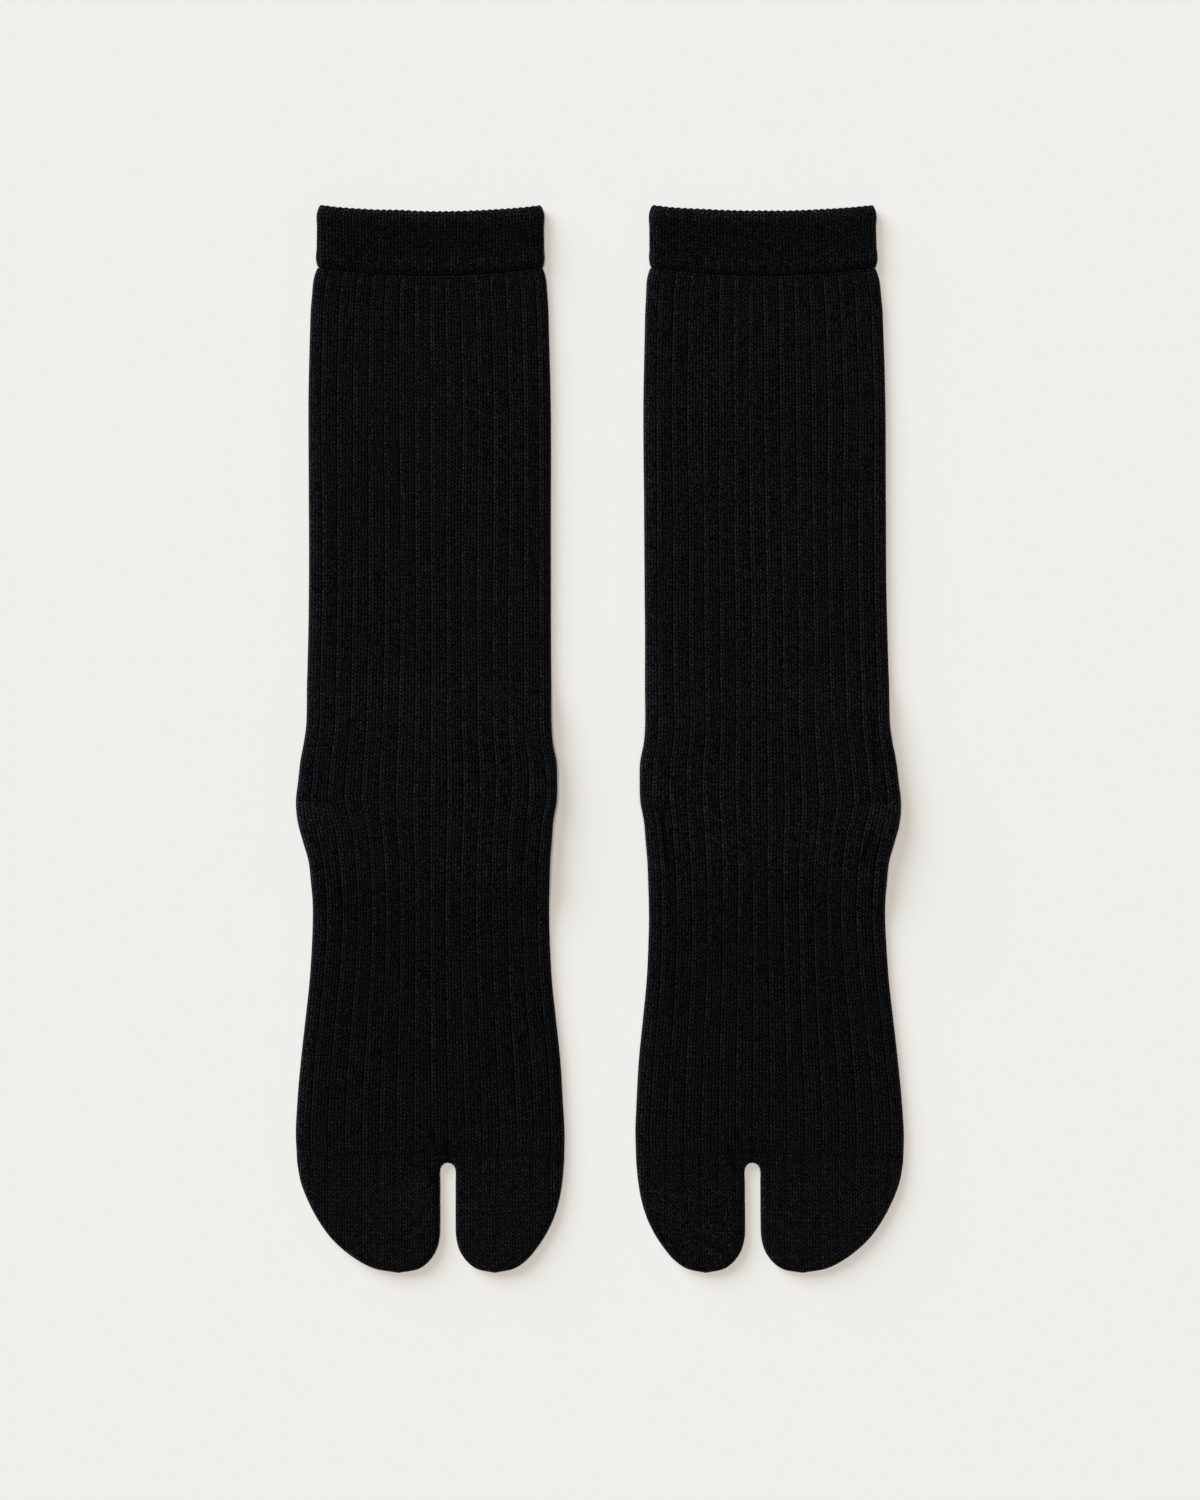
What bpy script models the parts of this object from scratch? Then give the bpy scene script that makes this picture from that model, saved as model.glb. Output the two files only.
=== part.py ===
# A pair of knitted tabi socks, laid flat side by side with their insteps up.
# Metres, +Z up. The socks rest on z = 0 with their toes towards -Y, and the origin is on the
# surface under the middle of the pair. The right foot's sock is at -X, the left foot's at +X.
#
# Each sock is a flattened tube. It is worked out in the sock's own sizes, in millimetres:
#   across  from the sock's long axis, + towards the other sock, where the great toe is
#   down    from the top of the cuff towards the toes
#   height  above the surface it lies on

from collections import namedtuple
from math import cos, hypot, radians, sin

import bmesh
import bpy

MM = 0.001
NAME = "tabi_socks"

# Driving sizes, in millimetres.
SOCK_LENGTH = 426.4     # top of the cuff to the ends of the toes
CUFF_DEPTH = 24.8       # cuff, measured at its sides
SEAM_GAP = 0.3          # between pieces that meet
BODY_WALL = 1.6         # one layer of the ribbed tube
BODY_HALF = 2.1         # half of the flattened tube's thickness
CUFF_WALL = 2.0         # one layer of the double welt
CUFF_HALF = 2.6
POCKET_HALF = 1.6       # half of the folded heel pocket's thickness
SLOT_TOP = 382.4        # where the toes part, below the cuff's top
SLOT_OFFSET = 6.8       # the slot's middle, from the axis towards the great toe
SLOT_HALF = 3.1         # half of the slot's width
SEAM_BOW = 3.6          # how far the middle of the cuff's seam lies below its ends
TOP_DIP = 2.4           # the same for the cuff's top edge
BOW_FADE = 45.0         # length of the leg over which the seam's bow straightens out
COLUMN_START = 300.0    # from here the middle column of the tube moves over to the slot
EDGE_NOTCH = 0.8        # depth of the groove between the heel pocket's two layers
RIM_ROUND = 0.5         # rounding of the cuff's rims

# The sock's axis from the origin, at its cuff and at its toes. The left foot's leans a little.
Sock = namedtuple("Sock", "name side cuff_x toe_x")
SOCKS = [
    Sock("right_sock", 1, -67.6, -67.6),
    Sock("left_sock", -1, 64.8, 68.0),
]

# The cuff: its edges from the axis, and the tube's half thickness.
CuffRow = namedtuple("CuffRow", "down inner outer half")
CUFF = [
    CuffRow(0.0, 44.3, 44.5, 2.3),
    CuffRow(2.4, 45.2, 45.4, 2.6),
    CuffRow(9.0, 45.3, 45.5, 2.6),
    CuffRow(17.0, 45.3, 45.6, 2.6),
    CuffRow(22.5, 45.2, 45.6, 2.5),
    CuffRow(CUFF_DEPTH - SEAM_GAP / 2, 45.0, 45.3, 2.2),
]

# Leg, heel and foot. The last row is the section that reaches the slot. The tube is lifted where
# the heel pocket lies under it.
Row = namedtuple("Row", "down inner outer lift")
LEG_AND_FOOT = [
    Row(CUFF_DEPTH + SEAM_GAP / 2, 45.0, 45.3, 0.0),
    Row(28.0, 45.7, 46.1, 0.0),
    Row(37.6, 46.7, 47.5, 0.0),
    Row(53.6, 47.3, 48.2, 0.0),
    Row(77.6, 47.9, 48.7, 0.0),
    Row(117.6, 48.0, 48.6, 0.0),
    Row(157.6, 48.0, 48.6, 0.0),
    Row(183.0, 48.1, 49.1, 0.0),
    Row(192.0, 48.2, 49.3, 0.9),
    Row(200.0, 48.2, 49.2, 2.7),
    Row(208.0, 48.3, 49.4, 3.5),
    Row(215.0, 48.9, 50.4, 3.5),
    Row(222.0, 50.3, 51.7, 3.5),
    Row(230.0, 50.6, 52.6, 3.5),
    Row(238.0, 50.4, 53.5, 3.5),
    Row(246.0, 49.0, 52.9, 3.5),
    Row(254.0, 48.4, 50.8, 3.5),
    Row(262.0, 47.8, 48.5, 3.5),
    Row(270.0, 47.5, 47.6, 3.2),
    Row(278.0, 47.3, 47.0, 1.6),
    Row(286.0, 47.3, 47.0, 0.4),
    Row(295.0, 47.6, 47.4, 0.0),
    Row(310.0, 48.4, 48.4, 0.0),
    Row(326.0, 50.1, 50.1, 0.0),
    Row(342.0, 51.8, 51.8, 0.0),
    Row(358.0, 52.8, 53.2, 0.0),
    Row(373.0, 53.5, 53.9, 0.0),
    Row(SLOT_TOP, 53.2, 53.4, 0.0),
]

# The toes from where they part: the outline at the great toe's side (great) and at the little
# toe's side (little), and half of the slot's width between the two lobes.
ToeRow = namedtuple("ToeRow", "down great little slot")
TOES = [
    ToeRow(390.0, 52.5, 52.0, 3.1),
    ToeRow(398.0, 51.1, 48.9, 3.1),
    ToeRow(406.0, 48.5, 44.6, 3.1),
    ToeRow(412.0, 45.4, 40.3, 3.3),
    ToeRow(417.0, 42.0, 35.2, 4.5),
    ToeRow(421.0, 38.6, 29.8, 6.9),
    ToeRow(424.3, 34.2, 23.6, 10.6),
]

# The folded heel pocket: its edges as shares of the tube's, and its thickness as a share.
PocketRow = namedtuple("PocketRow", "down share thick")
POCKET = [
    PocketRow(210.0, 0.66, 0.0),
    PocketRow(210.6, 0.71, 0.7),
    PocketRow(213.0, 0.79, 1.0),
    PocketRow(219.0, 0.91, 1.0),
    PocketRow(228.0, 0.97, 1.0),
    PocketRow(238.0, 0.975, 1.0),
    PocketRow(248.0, 0.97, 1.0),
    PocketRow(257.0, 0.91, 1.0),
    PocketRow(263.0, 0.79, 1.0),
    PocketRow(265.4, 0.71, 0.7),
    PocketRow(266.0, 0.66, 0.0),
]

FOLD_ANGLES = (-90, -45, 0, 45, 90)     # round a side fold, from underneath to on top
COLUMNS = 3                             # columns of faces from a side to the middle column
KNIT_COLOUR = (0.0052, 0.0052, 0.0060, 1.0)
CUFF_COLOUR = (0.0047, 0.0047, 0.0054, 1.0)
KNIT_ROUGHNESS = 0.95


def clear_scene():
    for item in list(bpy.data.objects):
        bpy.data.objects.remove(item, do_unlink=True)


def smooth_step(value):
    t = min(max(value, 0.0), 1.0)
    return t * t * (3 - 2 * t)


def tube_edges(down):
    # The tube's inner and outer edges at one place, between the rows of its table.
    for upper, lower in zip(LEG_AND_FOOT, LEG_AND_FOOT[1:]):
        if down <= lower.down:
            t = (down - upper.down) / (lower.down - upper.down)
            inner = upper.inner + t * (lower.inner - upper.inner)
            outer = upper.outer + t * (lower.outer - upper.outer)
            return inner, outer
    return LEG_AND_FOOT[-1].inner, LEG_AND_FOOT[-1].outer


def fold(edge, normal, half, level, notch=0.0):
    # The cloth's turn at an edge, as points in a half circle. edge is (across, down) on the
    # outline and normal points away from the cloth. A notch pulls the middle point in.
    points = []
    for angle in FOLD_ANGLES:
        back = half * (1 - cos(radians(angle)))
        if angle == 0:
            back += notch
        height = level + half * sin(radians(angle))
        points.append((edge[0] - normal[0] * back, edge[1] - normal[1] * back, height))
    return points


def between(start, end, count):
    # The points that divide the line from start to end into count equal parts.
    steps = [k / count for k in range(1, count)]
    return [tuple(a + t * (b - a) for a, b in zip(start, end)) for t in steps]


def closed_ring(low, high):
    # A section of one lobe: round the low fold, over the top, round the high fold and back.
    over = between(low[-1], high[-1], COLUMNS)
    under = between(high[0], low[0], COLUMNS)
    return low + over + high[::-1] + under


def trunk_ring(row, half, level, notch=0.0):
    # A section of the whole tube, with a middle column that runs into the slot.
    low = fold((-row.outer, row.down), (-1, 0), half, level, notch)
    high = fold((row.inner, row.down), (1, 0), half, level, notch)
    shift = smooth_step((row.down - COLUMN_START) / (SLOT_TOP - COLUMN_START))
    middle = SLOT_OFFSET * shift
    top = (middle, row.down, level + half)
    bottom = (middle, row.down, level - half)
    over = between(low[-1], top, COLUMNS) + [top] + between(top, high[-1], COLUMNS)
    under = between(high[0], bottom, COLUMNS) + [bottom] + between(bottom, low[0], COLUMNS)
    return low + over + high[::-1] + under


def bowed(points, row, amount):
    # Moves the middle of a section towards the toes, and its edges not at all.
    moved = []
    for across, down, height in points:
        share = across / (row.inner if across > 0 else row.outer)
        moved.append((across, down + amount * (1 - min(share * share, 1.0)), height))
    return moved


def place(sock, point):
    across, down, height = point
    axis = sock.cuff_x + (sock.toe_x - sock.cuff_x) * down / SOCK_LENGTH
    return ((axis + sock.side * across) * MM, (SOCK_LENGTH / 2 - down) * MM, height * MM)


def add_ring(mesh, sock, points):
    return [mesh.verts.new(place(sock, point)) for point in points]


def join_rings(mesh, sock, first, second):
    count = len(first)
    for k in range(count):
        n = (k + 1) % count
        face = [first[k], second[k], second[n], first[n]]
        mesh.faces.new(face if sock.side > 0 else face[::-1])


def loft(mesh, sock, rings):
    # Joins each ring of vertices to the next, and gives back the last one.
    for first, second in zip(rings, rings[1:]):
        join_rings(mesh, sock, first, second)
    return rings[-1]


def finish(mesh, name, material):
    # Flattened end rings have pairs of vertices in one place, which become one.
    bmesh.ops.remove_doubles(mesh, verts=mesh.verts, dist=0.000001)
    data = bpy.data.meshes.new(name)
    mesh.to_mesh(data)
    mesh.free()
    data.shade_smooth()
    data.materials.append(material)
    made = bpy.data.objects.new(name, data)
    bpy.data.collections[NAME].objects.link(made)
    return made


def add_wall(item, thickness):
    # The cloth's thickness, grown inwards from its outer face.
    wall = item.modifiers.new("Wall", "SOLIDIFY")
    wall.thickness = thickness * MM
    wall.offset = -1.0
    wall.use_even_offset = True


def cloth(name, colour):
    material = bpy.data.materials.new(name)
    material.use_nodes = True
    shader = material.node_tree.nodes["Principled BSDF"]
    shader.inputs["Base Color"].default_value = colour
    shader.inputs["Roughness"].default_value = KNIT_ROUGHNESS
    shader.inputs["Metallic"].default_value = 0.0
    return material


def slot_edge(turn, lobe):
    # A point on the slot's round end, turn degrees from its top.
    # lobe is 1 on the great toe's side and -1 on the other.
    across = SLOT_OFFSET + lobe * SLOT_HALF * sin(radians(turn))
    return across, SLOT_TOP + SLOT_HALF * (1 - cos(radians(turn)))


def lobe_outline(lobe):
    # The lobe's edge points: down its side, round the tip and back up the slot. The first two
    # sections lie across the slot's round end, and each row of the table gives one more.
    start = LEG_AND_FOOT[-1]
    wide = start.inner if lobe > 0 else start.outer
    next_wide = TOES[0].great if lobe > 0 else TOES[0].little
    slot = [slot_edge(turn, lobe) for turn in (45, 90)]
    side = []
    for _, down in slot:
        t = (down - start.down) / (TOES[0].down - start.down)
        side.append((lobe * (wide + t * (next_wide - wide)), down))
    for row in TOES:
        side.append((lobe * (row.great if lobe > 0 else row.little), row.down))
        slot.append((SLOT_OFFSET + lobe * row.slot, row.down))
    tip = [(across, SOCK_LENGTH) for across, _ in between(side[-1], slot[-1], COLUMNS)]
    return side, tip, slot


def outward(points, lobe):
    # The direction away from the cloth at each point, square to the line between its neighbours.
    found = []
    for before, after in zip(points[:1] + points[:-1], points[1:] + points[-1:]):
        across, down = after[0] - before[0], after[1] - before[1]
        size = hypot(across, down)
        found.append((lobe * down / size, -lobe * across / size))
    return found


def toe_lobe(mesh, sock, first_ring, lobe):
    side, tip, slot = lobe_outline(lobe)
    outline = side + tip + slot[::-1]
    folds = []
    for edge, normal in zip(outline, outward(outline, lobe)):
        folds.append(fold(edge, normal, BODY_HALF, BODY_HALF))
    side_folds = folds[: len(side)]
    tip_folds = folds[len(side) : len(side) + len(tip)]
    slot_folds = folds[len(side) + len(tip) :][::-1]
    rings = [first_ring]
    for side_fold, slot_fold in zip(side_folds, slot_folds):
        low, high = (slot_fold, side_fold) if lobe > 0 else (side_fold, slot_fold)
        rings.append(closed_ring(low, high))
    # The last section's columns end on the folds round the tip, which a strip then closes.
    if lobe > 0:
        tip_folds.reverse()
    turn = len(FOLD_ANGLES)
    last = rings[-1]
    last[turn : turn + COLUMNS - 1] = [points[-1] for points in tip_folds]
    last[2 * turn + COLUMNS - 1 :] = [points[0] for points in tip_folds[::-1]]
    rings[1:] = [add_ring(mesh, sock, points) for points in rings[1:]]
    end = loft(mesh, sock, rings)
    arcs = [end[:turn]]
    tops = end[turn : turn + COLUMNS - 1]
    bottoms = end[2 * turn + COLUMNS - 1 :][::-1]
    for points, top, bottom in zip(tip_folds, tops, bottoms):
        arcs.append([bottom] + add_ring(mesh, sock, points[1:-1]) + [top])
    arcs.append(end[turn + COLUMNS - 1 : 2 * turn + COLUMNS - 1][::-1])
    for near, far in zip(arcs, arcs[1:]):
        for k in range(turn - 1):
            face = [near[k], far[k], far[k + 1], near[k + 1]]
            mesh.faces.new(face if sock.side > 0 else face[::-1])


def make_body(sock):
    mesh = bmesh.new()
    rings = []
    for row in LEG_AND_FOOT:
        straightened = min((row.down - CUFF_DEPTH) / BOW_FADE, 1.0)
        bow = SEAM_BOW * (1 - straightened) ** 2
        ring = trunk_ring(row, BODY_HALF, row.lift + BODY_HALF)
        rings.append(bowed(ring, row, bow))
    # The last section's middle points end on the web of cloth between the toes.
    turn = len(FOLD_ANGLES)
    top = turn + COLUMNS - 1
    bottom = top + turn + 2 * COLUMNS - 1
    web = fold((SLOT_OFFSET, SLOT_TOP), (0, 1), BODY_HALF, BODY_HALF)
    rings[-1][top] = web[-1]
    rings[-1][bottom] = web[0]
    trunk = loft(mesh, sock, [add_ring(mesh, sock, points) for points in rings])
    crotch = add_ring(mesh, sock, web[1:-1])
    little = trunk[: top + 1] + crotch[::-1] + trunk[bottom:]
    great = [trunk[bottom]] + crotch + trunk[top:bottom]
    toe_lobe(mesh, sock, little, -1)
    toe_lobe(mesh, sock, great, 1)
    body = finish(mesh, f"{sock.name}_body", cloth(f"{sock.name}_body", KNIT_COLOUR))
    add_wall(body, BODY_WALL)


def make_cuff(sock):
    mesh = bmesh.new()
    rings = []
    for row in CUFF:
        bow = TOP_DIP + (SEAM_BOW - TOP_DIP) * row.down / CUFF_DEPTH
        ring = trunk_ring(row, row.half, CUFF_HALF)
        rings.append(add_ring(mesh, sock, bowed(ring, row, bow)))
    loft(mesh, sock, rings)
    cuff = finish(mesh, f"{sock.name}_cuff", cloth(f"{sock.name}_cuff", CUFF_COLOUR))
    add_wall(cuff, CUFF_WALL)
    rim = cuff.modifiers.new("Rim", "BEVEL")
    rim.width = RIM_ROUND * MM
    rim.segments = 2
    rim.limit_method = "ANGLE"
    rim.angle_limit = radians(60)


def make_heel(sock):
    mesh = bmesh.new()
    rings = []
    for row in POCKET:
        inner, outer = tube_edges(row.down)
        flat = Row(row.down, inner * row.share, outer * row.share, 0.0)
        half = POCKET_HALF * row.thick
        ring = trunk_ring(flat, half, POCKET_HALF, EDGE_NOTCH * row.thick)
        rings.append(add_ring(mesh, sock, ring))
    loft(mesh, sock, rings)
    finish(mesh, f"{sock.name}_heel", cloth(f"{sock.name}_heel", KNIT_COLOUR))


def make_pair():
    clear_scene()
    pair = bpy.data.collections.new(NAME)
    bpy.context.scene.collection.children.link(pair)
    for sock in SOCKS:
        make_cuff(sock)
        make_body(sock)
        make_heel(sock)


make_pair()
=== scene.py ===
import math

import bmesh
import bpy
import numpy as np
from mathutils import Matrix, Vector


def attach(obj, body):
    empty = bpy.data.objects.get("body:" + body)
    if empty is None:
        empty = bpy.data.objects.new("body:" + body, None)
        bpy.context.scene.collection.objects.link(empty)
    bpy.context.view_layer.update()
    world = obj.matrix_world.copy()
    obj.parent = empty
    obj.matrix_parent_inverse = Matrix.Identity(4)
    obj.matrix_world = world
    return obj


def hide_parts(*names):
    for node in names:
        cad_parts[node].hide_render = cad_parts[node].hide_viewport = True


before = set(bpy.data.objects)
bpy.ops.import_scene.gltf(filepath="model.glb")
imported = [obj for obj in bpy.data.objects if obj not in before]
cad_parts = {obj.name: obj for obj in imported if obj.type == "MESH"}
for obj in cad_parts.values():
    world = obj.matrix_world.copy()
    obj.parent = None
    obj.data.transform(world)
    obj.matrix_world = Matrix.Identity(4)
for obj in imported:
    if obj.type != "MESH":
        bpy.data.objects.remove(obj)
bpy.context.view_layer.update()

# A pair of knitted tabi socks, laid flat with their insteps up. Sizes are in millimetres and in
# each sock's own measures, as in the solids: across from the sock's long axis, + towards the
# great toe; down from the cuff's top towards the toes; and height above the surface.
mm = 0.001

pair = {
    "length": 426.4,        # cuff's top to the ends of the toes
    "cuffDepth": 24.8,      # cuff, at its sides
    "seamBow": 3.6,         # the middle of the seam lies this much below its ends
    "topDip": 2.4,          # the same for the cuff's top edge
    "bowFade": 45.0,        # the seam's bow straightens out over this length of leg
    "slotTop": 382.4,       # where the toes part
    "slotOffset": 6.8,      # slot's middle from the axis, towards the great toe
    "slotHalf": 3.1,        # half of the slot's width
    # side is 1 where the great toe is at +X; cuffX and toeX place the sock's axis
    "socks": {
        "right_sock": {"side": 1, "cuffX": -67.6, "toeX": -67.6, "seed": 3},
        "left_sock": {"side": -1, "cuffX": 64.8, "toeX": 68.0, "seed": 8},
    },
}

# Edges of leg, heel and foot from the axis, and how far the heel pocket lifts the tube.
tubeColumns = ("down", "inner", "outer", "lift")
tubeRows = np.array([
    (24.95, 45.0, 45.3, 0.0), (28.0, 45.7, 46.1, 0.0), (37.6, 46.7, 47.5, 0.0),
    (53.6, 47.3, 48.2, 0.0), (77.6, 47.9, 48.7, 0.0), (117.6, 48.0, 48.6, 0.0),
    (157.6, 48.0, 48.6, 0.0), (183.0, 48.1, 49.1, 0.0), (192.0, 48.2, 49.3, 0.9),
    (200.0, 48.2, 49.2, 2.7), (208.0, 48.3, 49.4, 3.5), (215.0, 48.9, 50.4, 3.5),
    (222.0, 50.3, 51.7, 3.5), (230.0, 50.6, 52.6, 3.5), (238.0, 50.4, 53.5, 3.5),
    (246.0, 49.0, 52.9, 3.5), (254.0, 48.4, 50.8, 3.5), (262.0, 47.8, 48.5, 3.5),
    (270.0, 47.5, 47.6, 3.2), (278.0, 47.3, 47.0, 1.6), (286.0, 47.3, 47.0, 0.4),
    (295.0, 47.6, 47.4, 0.0), (310.0, 48.4, 48.4, 0.0), (326.0, 50.1, 50.1, 0.0),
    (342.0, 51.8, 51.8, 0.0), (358.0, 52.8, 53.2, 0.0), (373.0, 53.5, 53.9, 0.0),
    (382.4, 53.2, 53.4, 0.0),
])

# The toes' outline: the great toe's side, the little toe's side, and half of the slot's width.
toeColumns = ("down", "great", "little", "slot")
toeRows = np.array([
    (390.0, 52.5, 52.0, 3.1), (398.0, 51.1, 48.9, 3.1), (406.0, 48.5, 44.6, 3.1),
    (412.0, 45.4, 40.3, 3.3), (417.0, 42.0, 35.2, 4.5), (421.0, 38.6, 29.8, 6.9),
    (424.3, 34.2, 23.6, 10.6),
])
toeTips = {"great": 25.6, "little": -12.9}      # where each lobe ends, across


def smoothStep(value):
    # 3t^2 - 2t^3, with t kept between 0 and 1
    t = np.clip(value, 0.0, 1.0)
    return t * t * (3.0 - 2.0 * t)


def smoothRead(known, values, at):
    # A cubic between each two known values, with slopes taken from their neighbours. Beyond
    # the ends it keeps the end values.
    known = np.asarray(known, float)
    values = np.asarray(values, float).reshape(len(known), -1)
    at = np.clip(np.asarray(at, float), known[0], known[-1])
    gap = np.diff(known)[:, None]
    rise = np.diff(values, axis=0) / gap
    slope = np.concatenate([rise[:1], (rise[:-1] * gap[1:] + rise[1:] * gap[:-1])
                            / (gap[:-1] + gap[1:]), rise[-1:]])
    k = np.clip(np.searchsorted(known, at, side="right") - 1, 0, len(gap) - 1)
    t = ((at - known[k]) / gap[k, 0])[..., None]
    start = values[k] * (1 + 2 * t) * (1 - t) ** 2 + values[k + 1] * t * t * (3 - 2 * t)
    bend = slope[k] * t * (1 - t) ** 2 + slope[k + 1] * t * t * (t - 1)
    found = start + bend * gap[k]
    return found[..., 0] if values.shape[1] == 1 else found


def tubeAt(name, down):
    known = tubeRows[:, tubeColumns.index("down")]
    return smoothRead(known, tubeRows[:, tubeColumns.index(name)], down)


def bell(distance, width):
    # A Gaussian: 1 at no distance, and 1/e at the width.
    return np.exp(-(distance / width) ** 2)


def hashNoise(a, b, seed):
    # A value between -1 and 1 for each pair of whole numbers, the same in each run.
    mixed = np.sin(a * 127.1 + b * 311.7 + seed * 74.7) * 43758.5453
    return 2.0 * (mixed - np.floor(mixed)) - 1.0


def waves(x, y, seed, scaleX, scaleY):
    # Smooth noise: hashed corners of a grid of the given sizes, blended by smoothStep.
    x, y = x / scaleX, y / scaleY
    i, j = np.floor(x), np.floor(y)
    tx, ty = smoothStep(x - i), smoothStep(y - j)
    low = hashNoise(i, j, seed) * (1 - tx) + hashNoise(i + 1, j, seed) * tx
    high = hashNoise(i, j + 1, seed) * (1 - tx) + hashNoise(i + 1, j + 1, seed) * tx
    return low * (1 - ty) + high * ty


def bowAt(across, down, edge):
    # How far a row of stitches sags in the middle of the tube: a parabola across it. It grows
    # down the cuff and straightens out down the leg.
    cuffBow = pair["topDip"] + (pair["seamBow"] - pair["topDip"]) * down / pair["cuffDepth"]
    legBow = pair["seamBow"] * (1 - np.clip((down - pair["cuffDepth"]) / pair["bowFade"], 0, 1)) ** 2
    size = np.where(down < pair["cuffDepth"], cuffBow, legBow)
    return size * np.clip(1 - (across / edge) ** 2, 0, 1)


def placed(sock, across, down, height):
    # From a sock's own measures to the frame, still in millimetres.
    axis = sock["cuffX"] + (sock["toeX"] - sock["cuffX"]) * down / pair["length"]
    return np.stack([axis + sock["side"] * across, pair["length"] / 2 - down, height], axis=-1)


def meshFrom(name, sock, points, faces, uvs, marks):
    # points is n by 3, in millimetres. faces is a list of index arrays, each with its own
    # number of corners, and uvs has a (wale, course) pair for every corner of every face.
    # marks are values at the points, which the material reads. The faces are laid out for the
    # right sock, so the other's are turned over.
    if sock["side"] < 0:
        faces, uvs = [f[:, ::-1] for f in faces], [u[:, ::-1] for u in uvs]
    mesh = bpy.data.meshes.new(name)
    mesh.vertices.add(len(points))
    mesh.vertices.foreach_set("co", (points * mm).astype(np.float32).ravel())
    corners = np.concatenate([f.ravel() for f in faces]).astype(np.int32)
    counts = np.concatenate([np.full(len(f), f.shape[1]) for f in faces]).astype(np.int32)
    mesh.loops.add(len(corners))
    mesh.loops.foreach_set("vertex_index", corners)
    mesh.polygons.add(len(counts))
    mesh.polygons.foreach_set("loop_start", np.append(0, np.cumsum(counts)[:-1]).astype(np.int32))
    mesh.update(calc_edges=True)
    layer = mesh.uv_layers.new(name="knit")
    layer.uv.foreach_set("vector", np.concatenate([u.reshape(-1, 2) for u in uvs])
                         .astype(np.float32).ravel())
    for mark, values in marks.items():
        kept = mesh.attributes.new(mark, "FLOAT", "POINT")
        kept.data.foreach_set("value", values.astype(np.float32).ravel())
    mesh.shade_smooth()
    made = bpy.data.objects.new(name, mesh)
    bpy.context.scene.collection.objects.link(made)
    return made


def ringQuads(rings):
    # A face between each point of a ring, the next ring's, and their neighbours round the rings.
    around = np.roll(rings, -1, axis=1)
    return np.stack([rings[:-1], rings[1:], around[1:], around[:-1]], axis=-1)


def charted(*corners):
    # The (wale, course) pairs at the four corners of each face of a grid, as one list of faces.
    return np.stack([np.stack(corner, axis=-1) for corner in corners], axis=2).reshape(-1, 4, 2)


def weld(made):
    # Merges points that lie in one place, as at the ends of the toes where two folds meet, and
    # closes any end that is still open.
    work = bmesh.new()
    work.from_mesh(made.data)
    bmesh.ops.remove_doubles(work, verts=work.verts, dist=2e-6)
    bmesh.ops.holes_fill(work, edges=[e for e in work.edges if e.is_boundary], sides=0)
    work.to_mesh(made.data)
    work.free()


# The body: leg, foot and split toe, knitted as one tube.
body = {
    "half": 2.1,            # half of the flattened tube's thickness
    "wall": 1.6,            # one layer of cloth
    "ribs": {1: 14, -1: 18},    # on the great toe's side of the slot's line, all round, and beyond
    "rows": 232,            # rows of faces from the seam to the slot
    "lobeRows": 40,
    "foldColumns": 10,      # columns round the slot's edge
    "insideStep": 5,        # the hidden inner wall has a fifth of the columns
    "insideRows": 58,
    "insideLobeRows": 12,
    "slotDip": 16.0,        # over this length the slot's line sinks to make room for the web
    "tipEven": 1.15,        # how early a lobe's columns become evenly spaced
    "course": 1.45,         # height of a stitch, in ribs and in the plain toes
    "toeCourse": 1.64,
    "plainFrom": 379.5,     # here the ribs end
    "ribsFlat": 381.5,      # here their relief has gone, over the next length
    "ribsFade": 18.0,
    "wales": 3.0,           # wales in a rib, and how many show, the rest hides in the groove
    "ribWales": 2.5,
    "rest": 0.04,           # nothing lies lower than this, and nothing inside lower than the next
    "insideRest": 0.6,
    "topSharp": 2.0,        # how sharply the top's relief and the underside's end at the folds
    "underSharp": 1.5,
    # each of these is a height or a distance, and how far it reaches
    "uneven": {"most": 0.22, "across": 9.0, "down": 13.0},      # a share of the ribs' relief
    "calmed": 0.75,         # how much a swelling smooths the ribs on it
    "pressed": 0.36,        # how far the underside's ribs are pressed in
    "puff": {"most": 0.35, "down": 30.0, "width": 3.6},         # ribs swell below the seam
    "seamGroove": {"deep": 0.3, "width": 1.2},
    "swell": {"most": 0.22, "across": 26.0, "down": 38.0, "fromEdge": 12.0},
    "crown": {"most": 0.5, "width": 2.4},                       # the sides slope down
    "slide": {"most": 0.4, "across": 15.0, "down": 42.0, "fromEdge": 8.0},  # ribs wander sideways
    "hiddenShift": 17.0,    # the underside's creases are this much farther down, and shallower
    "hiddenShare": 0.6,
    # painted highlights along the edges that face the light and on the outer heel, painted highlight
    # and shade at the slot, painted shade at the seam, and how far in each reaches
    "litEdge": {"most": 0.7, "width": 3.4},
    "litHeel": {"most": 0.55, "width": 3.6, "down": 243.0, "length": 9.0},
    "slotShade": {"dark": 0.45, "light": 0.25, "above": 0.35, "lip": 1.0, "width": 2.2},
    "seamShade": {"most": 0.45, "width": 1.0},
}
# Columns of points in a rib: where each one lies in it, from its groove, and its height.
ribPlaces = np.array([0.0, 0.11, 0.215, 0.32, 0.425, 0.52, 0.62, 0.715, 0.81, 0.905])
ribHeights = np.array([-0.5, 0.24, 0.14, 0.1, -0.12, -0.02, -0.12, -0.01, -0.12, -0.04])

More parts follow.
